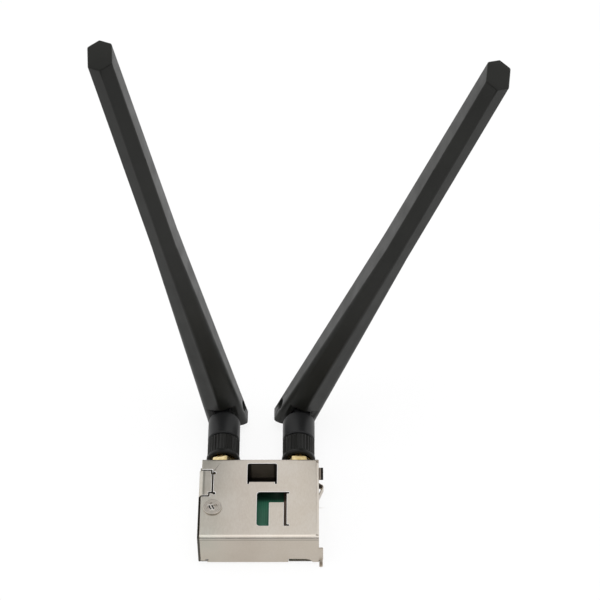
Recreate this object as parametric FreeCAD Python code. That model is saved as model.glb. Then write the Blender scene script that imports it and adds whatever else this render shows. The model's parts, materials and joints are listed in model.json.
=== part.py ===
import FreeCAD
import Part
import math
import os

Vector = FreeCAD.Vector

# Wifi card in a folded steel bracket, with two screw-on swivel antennas on its rear wall.
# Millimetres. Origin at the middle of the bracket's bottom face, +Z up, +Y to the rear wall.

# Sheet metal
sheet = 0.6
bend_inside = 0.35
seam_gap = 0.1

# Bracket, outside sizes
bracket_width = 37.9
bracket_depth = 31.0
bracket_height = 13.6

# Front lip, turned in under the box
lip_depth = 3.6
lip_left = -16.25
lip_right = 9.35
lip_relief_radius = 0.45
lip_relief_rise = 0.38
front_corner_lift = 1.35
front_notch_lift = 2.25
front_notch_right = 17.0
front_notch_radius = 2.4

# Right ear of the front wall
ear_reach = 1.3
ear_low = 1.6
ear_high = 7.8

# Flange turned down along the right edge of the top plate
flange_drop = 1.9
flange_end_gap = 0.5

# Rear window in the top plate, places measured from the rear face
rear_window_middle = 0.97
rear_window_width = 9.35
rear_window_back = 1.95
rear_window_length = 6.8
window_corner = 0.6
tab_relief = 0.6
tab_relief_past = 0.35

# Side window in the top plate, with a spring tongue left standing at its front edge
side_window_middle = 4.13
side_window_width = 9.4
side_window_back = 13.2
side_window_length = 13.1
side_corner = 1.0
side_notch_reach = 0.8
side_tongue_middle = 5.6
side_tongue_width = 4.7
side_tongue_end_gap = 3.5
side_tongue_drop = 0.7

# Lock tab of the left wall, folded over into a notch of the top plate
lock_back = 4.35
lock_length = 10.6
lock_bend_inside = 0.7
lock_back_step = 1.4
lock_back_reach = 4.1
lock_tongue_reach = 4.5
lock_front_step = 1.3
lock_front_reach = 3.45
lock_relief_radius = 0.5
lock_gap = 0.45
wall_drop = 0.12
wall_rear_drop = 5.0

# Latch on the right side: post with an outward hook and a bowed spring
post_back = 2.0
post_top_length = 4.6
post_low_length = 8.0
post_low_height = 6.6
hook_height = 11.2
hook_reach = 1.4
spring_sheet = 0.4
spring_low = 3.1
spring_high = 5.7
spring_bow = 1.5
spring_peak_shift = 0.9

# Locating tab at the right front corner of the floor
locator_width = 1.2
locator_back = 4.0
locator_reach = 1.5

# Card, a plug-in board of the usual 22 x 30 size
board_width = 22.0
board_length = 30.0
board_thickness = 0.8
board_underside = 8.2
board_front_gap = 0.1
board_end_gap = 3.9
board_notch_radius = 1.75
plug_width = 19.8
plug_length = 4.0
plug_key_width = 1.2
plug_key_depth = 3.5
plug_key_offset = 5.6
board_clearance = 0.05

# Shield can and coaxial sockets, on the underside of the board
shield_length = 17.0
shield_width = 18.0
shield_height = 1.4
shield_wall = 0.2
shield_from_plug = 6.5
socket_side = 2.2
socket_height = 0.5
socket_ring = 0.9
socket_ring_height = 0.5
socket_from_end = 3.2
socket_spread = 14.0

# Card screw, standoff and spacer
screw_shank_radius = 1.2
screw_head_radius = 2.95
screw_head_height = 0.6
screw_recess_width = 0.75
screw_recess_length = 3.2
screw_recess_depth = 0.4
standoff_flats = 5.0
spacer_radius = 2.6
screw_bore_clearance = 0.05

# Rests lanced up from the floor under the plug end of the board
rest_width = 3.0
rest_spread = 15.0
rest_from_plug = 5.2
rest_window_reach = 5.6

# Black insulating film on the floor and up the rear wall
film = 0.2
film_top_gap = 1.2
film_side_gap = 0.5

# Coaxial jacks on the rear wall
jack_left_inset = 7.1
jack_right_inset = 6.5
jack_height = 7.6
jack_thread_radius = 3.175
jack_reach = 9.5
jack_flats = 8.0
jack_flange = 1.5
jack_tail_radius = 1.7
jack_tail_length = 3.6
jack_bore_radius = 2.1
jack_bore_floor = 2.0
jack_contact_radius = 0.8
jack_contact_recess = 0.6
thread_clearance = 0.06
washer_thickness = 0.5
washer_radius = 4.4
washer_slit = 0.5
hex_nut_thickness = 2.5
hex_nut_flats = 8.0
left_hex_angle = -13.0
right_hex_angle = 2.5

# Coupling nut of each antenna: knurled sleeve over a brass insert
nut_gap = 0.3
nut_length = 8.0
collar_radius = 5.4
collar_length = 1.7
knurl_radius = 5.2
knurl_depth = 0.28
knurl_ribs = 30
nut_chamfer = 0.5
insert_radius = 4.2
insert_recess = 2.4
insert_flange = 1.0
insert_clearance = 0.08

# Ferrule and centre pin of each antenna
ferrule_neck_radius = 2.2
ferrule_head_radius = 3.0
ferrule_head = 0.35
ferrule_seat = 3.0
ferrule_gap = 0.05
centre_pin_radius = 0.45
centre_pin_reach = 3.0
centre_pin_clearance = 0.05

# Antenna base: round barrel with a flat tongue for the hinge
barrel_gap = 0.15
barrel_radius = 5.2
barrel_length = 8.75
barrel_chamfer = 0.4
barrel_dome = 0.9
tongue_thickness = 5.0
tongue_radius = 3.6
hinge_reach = 5.4
scallop_clearance = 0.3
scallop_seat = 1.0

# Paddle: six-sided blade, forked round the tongue at its foot
paddle_length = 158.2
waist_height = 83.6
foot_width = 13.1
foot_side = 7.0
foot_depth = 10.8
waist_width = 7.4
waist_side = 7.9
waist_depth = 12.0
tip_width = 7.0
tip_side = 6.0
tip_depth = 9.2
foot_corner = 2.6
waist_corner = 0.9
tip_corner = 0.6
tip_slope = 18.3
tip_edge = 0.35
fork_radius = 6.4
fork_slot_clearance = 0.12
fork_slot_top = 5.2
cheek_setback = 1.4
cheek_round = 1.0
fork_back_clearance = 0.3
hinge_pin_radius = 1.25
hinge_pin_clearance = 0.05
hinge_recess_radius = 1.9
hinge_recess_depth = 0.9
left_lean_angle = -10.9
right_lean_angle = 21.0

# Worked out from the sizes above
left_face = -bracket_width / 2
right_face = bracket_width / 2
front_face = -bracket_depth / 2
rear_face = bracket_depth / 2
plate_underside = bracket_height - sheet
cover_left = left_face + sheet + seam_gap
cover_width = right_face - cover_left
floor_front = front_face + sheet + seam_gap
floor_rear = rear_face - sheet - seam_gap
bend_outside = bend_inside + sheet
board_end = left_face + sheet + board_end_gap
board_plug_end = board_end + board_length
board_middle = front_face + sheet + board_front_gap + board_width / 2
board_topside = board_underside + board_thickness
jack_left = left_face + jack_left_inset
jack_right = right_face - jack_right_inset
nut_start = washer_thickness + hex_nut_thickness + nut_gap
nut_end = nut_start + nut_length
barrel_start = nut_end + barrel_gap
barrel_end = barrel_start + barrel_length
hinge_line = barrel_end + hinge_reach


def box(x0, x1, y0, y1, z0, z1):
    return Part.makeBox(x1 - x0, y1 - y0, z1 - z0, Vector(x0, y0, z0))


def from_rear(distance):
    return rear_face - distance


def unit(a, b):
    length = math.hypot(b[0] - a[0], b[1] - a[1])
    return ((b[0] - a[0]) / length, (b[1] - a[1]) / length)


def offset_line(path, shift):
    moved = []
    last = len(path) - 1
    for i, (u, v) in enumerate(path):
        before = unit(path[max(i - 1, 0)], path[max(i, 1)])
        after = unit(path[min(i, last - 1)], path[min(i + 1, last)])
        across = (-before[1] - after[1], before[0] + after[0])
        scale = shift / (1 + before[0] * after[0] + before[1] * after[1])
        moved.append((u + scale * across[0], v + scale * across[1]))
    return moved


def corner(previous, point, following, radius):
    # Start, middle and end of the arc that rounds one corner
    into = unit(previous, point)
    out = unit(point, following)
    half_turn = math.acos(max(-1, min(1, into[0] * out[0] + into[1] * out[1]))) / 2
    run = radius * math.tan(half_turn)
    inward = unit(into, out)
    depth = radius / math.cos(half_turn) - radius
    start = (point[0] - into[0] * run, point[1] - into[1] * run)
    middle = (point[0] + inward[0] * depth, point[1] + inward[1] * depth)
    end = (point[0] + out[0] * run, point[1] + out[1] * run)
    return start, middle, end


def rounded_line(path, radii, place):
    edges = []
    here = path[0]
    for i in range(1, len(path) - 1):
        start, middle, end = corner(path[i - 1], path[i], path[i + 1], radii[i])
        edges.append(Part.makeLine(place(*here), place(*start)))
        edges.append(Part.Arc(place(*start), place(*middle), place(*end)).toShape())
        here = end
    edges.append(Part.makeLine(place(*here), place(*path[-1])))
    return edges


def folded_strip(path, thickness, inside, plane, start, width):
    # A bent strip of sheet, from the middle line of its section
    places = {
        "yz": lambda u, v: Vector(start, u, v),
        "xz": lambda u, v: Vector(u, start, v),
        "xy": lambda u, v: Vector(u, v, start),
    }
    travel = {"yz": Vector(width, 0, 0), "xz": Vector(0, width, 0), "xy": Vector(0, 0, width)}
    place = places[plane]
    edges = []
    sides = []
    for shift in (thickness / 2, -thickness / 2):
        radii = [0] * len(path)
        for i in range(1, len(path) - 1):
            into = unit(path[i - 1], path[i])
            out = unit(path[i], path[i + 1])
            turn = math.copysign(1, into[0] * out[1] - into[1] * out[0])
            radii[i] = inside + thickness / 2 - shift * turn
        line = offset_line(path, shift)
        edges += rounded_line(line, radii, place)
        sides.append(line)
    edges.append(Part.makeLine(place(*sides[0][0]), place(*sides[1][0])))
    edges.append(Part.makeLine(place(*sides[0][-1]), place(*sides[1][-1])))
    wire = Part.Wire(Part.__sortEdges__(edges))
    return Part.Face(wire).extrude(travel[plane])


def rounded_window(x0, x1, y0, y1, radius):
    window = box(x0, x1, y0, y1, plate_underside - 1, bracket_height + 1)
    upright = [e for e in window.Edges if abs(e.Vertexes[0].Z - e.Vertexes[1].Z) > 1]
    return window.makeFillet(radius, upright)


def revolved(profile):
    # Profile as (radius, y) points, turned about the Y axis
    points = [Vector(r, y, 0) for r, y in profile]
    wire = Part.makePolygon(points + points[:1])
    return Part.Face(wire).revolve(Vector(0, 0, 0), Vector(0, 1, 0), 360)


def rod(radius, y0, y1):
    return Part.makeCylinder(radius, y1 - y0, Vector(0, y0, 0), Vector(0, 1, 0))


def hex_prism(flats, y0, y1):
    radius = flats / math.sqrt(3)
    corners = [math.radians(60 * i) for i in range(6)]
    points = [Vector(radius * math.cos(a), y0, radius * math.sin(a)) for a in corners]
    return Part.Face(Part.makePolygon(points + points[:1])).extrude(Vector(0, y1 - y0, 0))


def one_solid(shape):
    shape = shape.removeSplitter()
    return shape.Solids[0] if len(shape.Solids) == 1 else shape


def build_cover():
    middle = sheet / 2
    path = [
        (rear_face - middle, 0),
        (rear_face - middle, bracket_height - middle),
        (front_face + middle, bracket_height - middle),
        (front_face + middle, middle),
        (front_face + lip_depth, middle),
    ]
    cover = folded_strip(path, sheet, bend_inside, "yz", cover_left, cover_width)
    cover = cover.cut(front_edge_cuts()).cut(plate_cuts()).cut(jack_holes()).cut(flange_room())
    ear = box(right_face - sheet, right_face + ear_reach, front_face, front_face + sheet, ear_low, ear_high)
    along = [e for e in ear.Edges if abs(e.tangentAt(0).y) > 0.9]
    outer_edges = [e for e in along if e.CenterOfMass.x > right_face]
    ear = ear.makeFillet(sheet / 2, outer_edges)
    return one_solid(cover.fuse([ear, rear_tab(), side_tongue(), right_flange()]))


def front_edge_cuts():
    # The lip is narrower than the wall; the wall's lower edge is notched at both ends of it
    inner = front_face + lip_depth + 1
    low = -1
    left = box(cover_left - 1, lip_left, front_face - 1, inner, low, front_corner_lift)
    step = bend_outside + front_notch_lift / 2
    right_lip = box(lip_right, right_face + 1, front_face + sheet, inner, low, step)
    relief_at = Vector(lip_left, front_face - sheet, front_corner_lift + lip_relief_rise)
    relief = Part.makeCylinder(lip_relief_radius, sheet * 3, relief_at, Vector(0, 1, 0))
    notch = box(lip_right, front_notch_right, front_face - 1, inner, low, front_notch_lift)
    edges = [e for e in notch.Edges if abs(e.tangentAt(0).y) > 0.9]
    rounded = [e for e in edges if e.CenterOfMass.x > lip_right + 1 and e.CenterOfMass.z > 0]
    notch = notch.makeFillet(min(front_notch_radius, front_notch_lift + 0.9), rounded)
    foot = box(front_notch_right - 1, right_face + 1, front_face - 1, front_face + sheet, low, 0)
    return left.fuse([right_lip, relief, notch, foot])


def flange_ends():
    # The flange stops short of the bends along the front and rear edges
    gap = bend_outside + flange_end_gap
    return front_face + gap, rear_face - gap


def flange_room():
    front, rear = flange_ends()
    return box(right_face - bend_outside, right_face + 1, front - flange_end_gap, rear + flange_end_gap,
               plate_underside - 1, bracket_height + 1)


def right_flange():
    middle = sheet / 2
    level = bracket_height - middle
    front, rear = flange_ends()
    path = [
        (right_face - bend_outside - sheet, level),
        (right_face - middle, level),
        (right_face - middle, bracket_height - flange_drop),
    ]
    return folded_strip(path, sheet, bend_inside, "xz", front, rear - front)


def plate_cuts():
    left = rear_window_middle - rear_window_width / 2
    right = rear_window_middle + rear_window_width / 2
    back = from_rear(rear_window_back)
    front = back - rear_window_length
    relief = front - bend_outside
    slot_end = relief - tab_relief_past
    cuts = [
        rounded_window(left, right, front - window_corner, back, window_corner).common(
            box(left, right, front, back, plate_underside - 1, bracket_height + 1)),
        box(left + tab_relief, right - tab_relief, relief, front, plate_underside - 1, bracket_height + 1),
        rounded_window(left, left + tab_relief, slot_end, front + tab_relief, tab_relief * 0.45),
        rounded_window(right - tab_relief, right, slot_end, front + tab_relief, tab_relief * 0.45),
    ]
    left = side_window_middle - side_window_width / 2
    right = side_window_middle + side_window_width / 2
    back = from_rear(side_window_back)
    front = back - side_window_length
    notch = right + side_notch_reach
    cuts += [
        rounded_window(left, left + side_corner * 3, front, back, side_corner),
        rounded_window(left + side_corner, right, front, back, tab_relief * 0.45),
        rounded_window(right - tab_relief, notch, front, front + tab_relief, tab_relief * 0.45),
        rounded_window(right - tab_relief, notch, back - tab_relief, back, tab_relief * 0.45),
    ]
    low = plate_underside - 1
    tongue_back = from_rear(lock_back + lock_back_step)
    tongue_front = from_rear(lock_back + lock_length - lock_front_step)
    for reach, y0, y1 in lock_outline():
        cuts.append(box(left_face - 1, left_face + reach, y0, y1, low, bracket_height + 1))
    for y in (tongue_back, tongue_front):
        centre = Vector(left_face + lock_tongue_reach + lock_relief_radius / 2, y, low)
        cuts.append(Part.makeCylinder(lock_relief_radius, sheet + 2, centre))
    screw_hole = screw_shank_radius + screw_bore_clearance
    hole_start = Vector(board_end, board_middle, plate_underside - 1)
    cuts.append(Part.makeCylinder(screw_hole, sheet + 2, hole_start))
    return cuts[0].fuse(cuts[1:])


def lock_outline():
    # Reach and place of the three parts of the notch, which the tab fills less a gap
    back = from_rear(lock_back)
    tongue_back = back - lock_back_step
    front = back - lock_length
    tongue_front = front + lock_front_step
    return [
        (lock_back_reach, tongue_back, back),
        (lock_tongue_reach, tongue_front, tongue_back),
        (lock_front_reach, front, tongue_front),
    ]


def jack_holes():
    holes = []
    for x in (jack_left, jack_right):
        hole = rod(jack_thread_radius + thread_clearance, -sheet * 2, sheet)
        holes.append(hole.translated(Vector(x, rear_face, jack_height)))
    return holes[0].fuse(holes[1])


def rear_tab():
    # Tab bent down at the front of the rear window; its edge keeps the board down
    edge = from_rear(rear_window_back + rear_window_length)
    level = bracket_height - sheet / 2
    path = [
        (edge - bend_outside - sheet, level),
        (edge - sheet / 2, level),
        (edge - sheet / 2, board_topside + board_clearance),
    ]
    left = rear_window_middle - rear_window_width / 2 + tab_relief
    return folded_strip(path, sheet, bend_inside, "yz", left, rear_window_width - 2 * tab_relief)


def side_tongue():
    # Tongue left standing at the window's front edge, dipping towards its free rear end
    back = from_rear(side_window_back)
    front = back - side_window_length
    level = bracket_height - sheet / 2
    path = [
        (front - sheet, level),
        (front + bend_inside, level),
        (back - side_tongue_end_gap, level - side_tongue_drop),
    ]
    left = side_tongue_middle - side_tongue_width / 2
    return folded_strip(path, sheet, bend_inside, "yz", left, side_tongue_width)


def build_tray():
    middle = sheet / 2
    wall_top = bracket_height - wall_drop
    wall = [
        (right_face, middle),
        (left_face + middle, middle),
        (left_face + middle, wall_top),
    ]
    floor_depth = floor_rear - floor_front
    tray = folded_strip(wall, sheet, bend_inside, "xz", floor_front, floor_depth)
    ends = box(left_face, left_face + sheet, front_face, rear_face, bend_outside, wall_top)
    tray = tray.fuse(ends)
    tray = tray.cut(tray_cuts())
    pieces = [lock_tab(), latch_post(), latch_spring(), locator()]
    pieces += [card_rest(side) for side in (-1, 1)]
    return one_solid(tray.fuse(pieces))


def tray_cuts():
    cuts = []
    lip_end = front_face + lip_depth + seam_gap
    cuts.append(box(lip_left - seam_gap, lip_right + seam_gap, front_face, lip_end, -1, sheet + 1))
    # Behind the lock tab the wall stays well below the top plate
    back = from_rear(lock_back - lock_gap)
    top = bracket_height + 1
    cuts.append(box(left_face - 1, left_face + sheet + 1, back, rear_face + 1,
                    bracket_height - wall_rear_drop, top))
    tab_front = from_rear(lock_back + lock_length)
    bend = lock_bend_inside + sheet + seam_gap
    cuts.append(box(left_face - 1, left_face + sheet + 1, tab_front, back, bracket_height - bend, top))
    for side in (-1, 1):
        y = board_middle + side * rest_spread / 2
        right = board_plug_end - rest_from_plug
        half = rest_width / 2 + seam_gap
        cuts.append(box(right - rest_window_reach, right - bend_outside, y - half, y + half, -1, sheet + 1))
    return cuts[0].fuse(cuts[1:])


def lock_tab():
    middle = sheet / 2
    start = from_rear(lock_back + lock_length - lock_gap)
    end = left_face + lock_tongue_reach - lock_gap
    path = [
        (left_face + middle, bracket_height - lock_bend_inside - sheet * 3),
        (left_face + middle, bracket_height - middle),
        (end, bracket_height - middle),
    ]
    tab = folded_strip(path, sheet, lock_bend_inside, "xz", start, lock_length - lock_gap * 2)
    back, tongue, front = lock_outline()
    low = plate_underside - 1
    top = bracket_height + 1
    corners = box(left_face + back[0] - lock_gap, end + 1, back[1] - lock_gap, back[2] + 1, low, top)
    front_corner = box(left_face + front[0] - lock_gap, end + 1, front[1] - 1, front[2] + lock_gap, low, top)
    return tab.cut(corners.fuse(front_corner))


def latch_post():
    middle = sheet / 2
    start = from_rear(post_back + post_top_length)
    path = [
        (right_face - sheet * 4, middle),
        (right_face - middle, middle),
        (right_face - middle, hook_height),
        (right_face + hook_reach, hook_height),
    ]
    post = folded_strip(path, sheet, bend_inside, "xz", start, post_top_length)
    low_start = from_rear(post_back + post_low_length)
    low = folded_strip(path[:2] + [(right_face - middle, post_low_height)], sheet, bend_inside, "xz",
                       low_start, post_low_length)
    post = post.fuse(low)
    window_front = low_start + sheet
    window = box(right_face - sheet - 1, right_face + 1, window_front, from_rear(post_back) - sheet * 2,
                 spring_low - seam_gap, spring_high + seam_gap)
    return post.cut(window)


def latch_spring():
    # Bowed strip across the post's window, held at its rear end
    rear = from_rear(post_back) - sheet
    front = from_rear(post_back + post_low_length) + sheet + seam_gap
    middle = (rear + front) / 2 + spring_peak_shift
    inside = right_face - sheet / 2
    path = [
        (inside, rear),
        (inside, rear - sheet * 2),
        (right_face + spring_bow - spring_sheet / 2, middle + sheet / 2),
        (right_face + spring_bow - spring_sheet / 2, middle - sheet / 2),
        (inside, front),
    ]
    return folded_strip(path, spring_sheet, bend_inside, "xy", spring_low, spring_high - spring_low)


def locator():
    tab = box(right_face - sheet, right_face + locator_width, front_face - locator_reach,
              front_face + locator_back, 0, sheet)
    upright = [e for e in tab.Edges if abs(e.tangentAt(0).z) > 0.9 and e.CenterOfMass.x > right_face]
    tab = tab.makeFillet(locator_width / 3, upright)
    front = front_face - locator_reach - 1
    room = box(right_face - sheet - 1, right_face + seam_gap, front, floor_front, -1, 2)
    return tab.cut(room)


def card_rest(side):
    # Tab lanced out of the floor and turned up to carry the board
    middle = sheet / 2
    edge = board_plug_end - rest_from_plug
    start = board_middle + side * rest_spread / 2 - rest_width / 2
    path = [
        (edge + sheet * 2, middle),
        (edge - bend_outside + middle, middle),
        (edge - bend_outside + middle, board_underside),
    ]
    return folded_strip(path, sheet, bend_inside, "xz", start, rest_width)


def build_film():
    left = jack_left + jack_flats / math.sqrt(3) + film_side_gap
    right = jack_right - jack_flats / math.sqrt(3) - film_side_gap
    path = [
        (front_face + lip_depth + 2 * seam_gap, sheet + film / 2),
        (rear_face - sheet - film / 2, sheet + film / 2),
        (rear_face - sheet - film / 2, plate_underside - film_top_gap),
    ]
    return folded_strip(path, film, film, "yz", left, right - left)


def build_board():
    half = board_width / 2
    board = box(board_end, board_plug_end, board_middle - half, board_middle + half,
                board_underside, board_topside)
    notch_at = Vector(board_end, board_middle, board_underside - 1)
    cuts = [Part.makeCylinder(board_notch_radius, board_thickness + 2, notch_at)]
    low = board_underside - 1
    high = board_topside + 1
    for side in (-1, 1):
        inner = board_middle + side * plug_width / 2
        outer = board_middle + side * (half + 1)
        cuts.append(box(board_plug_end - plug_length, board_plug_end + 1,
                        min(inner, outer), max(inner, outer), low, high))
    key = board_middle - plug_key_offset
    cuts.append(box(board_plug_end - plug_key_depth, board_plug_end + 1, key - plug_key_width / 2,
                    key + plug_key_width / 2, low, high))
    return one_solid(board.cut(cuts[0].fuse(cuts[1:])))


def build_shield():
    right = board_plug_end - shield_from_plug
    left = right - shield_length
    half = shield_width / 2
    low = board_underside - shield_height
    can = box(left, right, board_middle - half, board_middle + half, low, board_underside)
    edges = [e for e in can.Edges if e.CenterOfMass.z < board_underside - 0.1]
    can = can.makeFillet(shield_wall * 1.5, edges)
    room = box(left + shield_wall, right - shield_wall, board_middle - half + shield_wall,
               board_middle + half - shield_wall, low + shield_wall, board_underside + 1)
    return can.cut(room)


def build_socket(side):
    x = board_end + socket_from_end
    y = board_middle + side * socket_spread / 2
    half = socket_side / 2
    low = board_underside - socket_height
    seat = box(x - half, x + half, y - half, y + half, low, board_underside)
    ring = Part.makeCylinder(socket_ring, socket_ring_height, Vector(x, y, low - socket_ring_height))
    bore = Part.makeCylinder(socket_ring * 0.7, socket_ring_height, Vector(x, y, low - socket_ring_height))
    return one_solid(seat.fuse(ring.cut(bore)))


def build_screw():
    base = Vector(board_end, board_middle, sheet * 2)
    shank = Part.makeCylinder(screw_shank_radius, bracket_height - sheet * 2, base)
    seat_at = Vector(board_end, board_middle, bracket_height)
    head = Part.makeCylinder(screw_head_radius, screw_head_height, seat_at)
    round_edges = [e for e in head.Edges if e.Length > 1.5 * screw_head_radius]
    rim = [e for e in round_edges if e.CenterOfMass.z > bracket_height + 0.1]
    head = head.makeFillet(screw_head_height * 0.45, rim)
    top = bracket_height + screw_head_height
    for angle in (0, 90):
        slot = box(-screw_recess_length / 2, screw_recess_length / 2, -screw_recess_width / 2,
                   screw_recess_width / 2, top - screw_recess_depth, top + 1)
        slot.rotate(Vector(0, 0, 0), Vector(0, 0, 1), angle + 20)
        head = head.cut(slot.translated(Vector(board_end, board_middle, 0)))
    return one_solid(shank.fuse(head))


def build_standoff():
    radius = standoff_flats / math.sqrt(3)
    corners = [math.radians(60 * i + 30) for i in range(6)]
    points = [Vector(radius * math.cos(a), radius * math.sin(a), 0) for a in corners]
    post = Part.Face(Part.makePolygon(points + points[:1])).extrude(Vector(0, 0, board_underside - sheet))
    post = post.translated(Vector(board_end, board_middle, sheet))
    bore = screw_shank_radius + screw_bore_clearance
    return post.cut(Part.makeCylinder(bore, bracket_height, Vector(board_end, board_middle, sheet * 2)))


def build_spacer():
    base = Vector(board_end, board_middle, board_topside)
    height = plate_underside - board_topside
    ring = Part.makeCylinder(spacer_radius, height, base)
    return ring.cut(Part.makeCylinder(screw_shank_radius + screw_bore_clearance, height, base))


def build_jack():
    # Axis along Y, the rear wall's outer face at y = 0
    flange_back = -sheet - jack_flange
    body = rod(jack_thread_radius, -sheet - jack_flange / 2, jack_reach)
    rings = [e for e in body.Edges if e.Length > 1.5 * jack_thread_radius]
    thread_end = [e for e in rings if e.CenterOfMass.y > jack_reach - 0.1]
    body = body.makeChamfer(jack_thread_radius * 0.1, thread_end)
    body = body.fuse(hex_prism(jack_flats, flange_back, -sheet))
    body = body.fuse(rod(jack_tail_radius, flange_back - jack_tail_length, flange_back))
    return one_solid(body.cut(rod(jack_bore_radius, jack_bore_floor, jack_reach + 1)))


def build_jack_insulator():
    core = rod(jack_bore_radius, jack_bore_floor, jack_reach - jack_contact_recess)
    return core.cut(rod(jack_contact_radius, jack_bore_floor, jack_reach))


def build_jack_contact():
    end = jack_reach - jack_contact_recess
    socket = rod(jack_contact_radius, jack_bore_floor, end)
    depth = centre_pin_reach + jack_contact_recess
    return socket.cut(rod(centre_pin_radius + centre_pin_clearance, end - depth, end))


def build_washer():
    ring = rod(washer_radius, 0, washer_thickness)
    ring = ring.cut(rod(jack_thread_radius + thread_clearance, 0, washer_thickness))
    return ring.cut(box(-washer_slit / 2, washer_slit / 2, 0, washer_thickness, -washer_radius - 1, 0))


def build_hex_nut():
    start = washer_thickness
    end = start + hex_nut_thickness
    nut = hex_prism(hex_nut_flats, start, end)
    across = hex_nut_flats / math.sqrt(3)
    flat = hex_nut_flats / 2
    slope = (across - flat) * 0.6
    crown = revolved([(0, start), (across, start), (across, end - slope), (flat, end), (0, end)])
    return nut.common(crown).cut(rod(jack_thread_radius + thread_clearance, start, end))


def build_sleeve():
    points = []
    for i in range(knurl_ribs * 2):
        angle = math.pi * (i + 0.5) / knurl_ribs
        radius = knurl_radius - (knurl_depth if i % 2 else 0)
        points.append(Vector(radius * math.sin(angle), nut_start, radius * math.cos(angle)))
    ribs = Part.Face(Part.makePolygon(points + points[:1])).extrude(Vector(0, nut_length, 0))
    taper = revolved([(0, nut_start), (knurl_radius, nut_start), (knurl_radius, nut_end - nut_chamfer),
                      (knurl_radius - nut_chamfer, nut_end), (0, nut_end)])
    collar_edge = nut_chamfer * 0.6
    collar = revolved([(0, nut_start), (collar_radius - collar_edge, nut_start),
                       (collar_radius, nut_start + collar_edge),
                       (collar_radius, nut_start + collar_length - collar_edge),
                       (collar_radius - collar_edge, nut_start + collar_length),
                       (0, nut_start + collar_length)])
    sleeve = ribs.common(taper).fuse(collar)
    return one_solid(sleeve.cut(rod(insert_radius, nut_start, nut_end)))


def build_insert():
    start = nut_start + insert_recess
    bore = jack_thread_radius + insert_clearance
    flange_start = nut_end - insert_flange
    neck = ferrule_neck_radius + insert_clearance
    return revolved([(bore, start), (insert_radius, start), (insert_radius, nut_end), (neck, nut_end),
                     (neck, flange_start), (bore, flange_start)])


def build_ferrule():
    start = jack_reach + ferrule_gap
    head_end = start + ferrule_head
    end = barrel_start + ferrule_seat
    return revolved([
        (centre_pin_radius, start), (ferrule_head_radius, start), (ferrule_head_radius, head_end),
        (ferrule_neck_radius, head_end), (ferrule_neck_radius, end), (centre_pin_radius, end),
    ])


def build_centre_pin():
    tip = jack_reach - jack_contact_recess - centre_pin_reach
    pin = rod(centre_pin_radius, tip, barrel_start + ferrule_seat)
    point = [e for e in pin.Edges if e.CenterOfMass.y < tip + 0.1 and e.Length > 1.5 * centre_pin_radius]
    return pin.makeChamfer(centre_pin_radius * 0.4, point)


def build_base():
    barrel = rod(barrel_radius, barrel_start, barrel_end)
    rings = [e for e in barrel.Edges if e.Length > 4 * barrel_radius]
    near = [e for e in rings if e.CenterOfMass.y < barrel_start + 0.1]
    far = [e for e in rings if e.CenterOfMass.y > barrel_end - 0.1]
    barrel = barrel.makeChamfer(barrel_chamfer, near)
    far = [e for e in barrel.Edges if e.Length > 4 * barrel_radius and e.CenterOfMass.y > barrel_end - 0.1]
    barrel = barrel.makeFillet(barrel_dome, far)
    half = tongue_thickness / 2
    # The end is hollowed round the hinge, so that the paddle's cheeks swing clear of it
    hollow = fork_radius + scallop_clearance
    swing_start = Vector(-barrel_radius * 2, hinge_line, 0)
    swing = Part.makeCylinder(hollow, barrel_radius * 4, swing_start, Vector(1, 0, 0))
    barrel = barrel.cut(swing)
    tongue_start = hinge_line - hollow - scallop_seat
    tongue = box(-half, half, tongue_start, hinge_line, -tongue_radius, tongue_radius)
    knuckle_start = Vector(-half, hinge_line, 0)
    knuckle = Part.makeCylinder(tongue_radius, tongue_thickness, knuckle_start, Vector(1, 0, 0))
    base = barrel.fuse([tongue, knuckle])
    bore = hinge_pin_radius + hinge_pin_clearance
    base = base.cut(Part.makeCylinder(bore, tongue_thickness * 2, Vector(-tongue_thickness, hinge_line, 0),
                                      Vector(1, 0, 0)))
    return one_solid(base.cut(rod(ferrule_neck_radius, barrel_start, barrel_start + ferrule_seat)))


def blade_section(width, side, depth, radius, height):
    half = width / 2
    flat = side / 2
    ridge = depth / 2
    points = [(half, -flat), (half, flat), (0, ridge), (-half, flat), (-half, -flat), (0, -ridge)]
    edges = []
    arcs = []
    for i, point in enumerate(points):
        arcs.append(corner(points[i - 1], point, points[(i + 1) % 6], radius))
    for i, (start, middle, end) in enumerate(arcs):
        edges.append(Part.Arc(*[Vector(u, v, height) for u, v in (start, middle, end)]).toShape())
        following = arcs[(i + 1) % 6][0]
        edges.append(Part.makeLine(Vector(*end, height), Vector(*following, height)))
    return Part.Wire(edges)


def build_paddle():
    # Hinge pin at the origin, blade along +Z, its front towards -Y
    over = tip_depth
    sections = [
        blade_section(foot_width, foot_side, foot_depth, foot_corner, -fork_radius),
        blade_section(waist_width, waist_side, waist_depth, waist_corner, waist_height),
        blade_section(tip_width, tip_side, tip_depth, tip_corner, paddle_length + over),
    ]
    blade = Part.makeLoft(sections, True, True)
    span = tip_depth * 4
    top = Part.makeBox(span, span, span, Vector(-span / 2, -span / 2, 0))
    top.rotate(Vector(0, 0, 0), Vector(1, 0, 0), tip_slope)
    blade = blade.cut(top.translated(Vector(0, 0, paddle_length)))
    rim = [e for e in blade.Edges if e.CenterOfMass.z > paddle_length - tip_depth
           and abs(e.Vertexes[0].Z - e.Vertexes[-1].Z) < tip_depth / 2]
    blade = blade.makeChamfer(tip_edge, rim)
    blade = blade.cut(foot_rounding()).cut(cheek_corners()).cut(fork_slot()).cut(fork_front())
    return one_solid(blade.cut(pin_bores())).translated(Vector(0, hinge_line, 0))


def foot_rounding():
    wide = foot_width * 2
    below = box(-wide, wide, -foot_depth, foot_depth, -fork_radius * 2, 0)
    return below.cut(Part.makeCylinder(fork_radius, wide * 2, Vector(-wide, 0, 0), Vector(1, 0, 0)))


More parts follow.
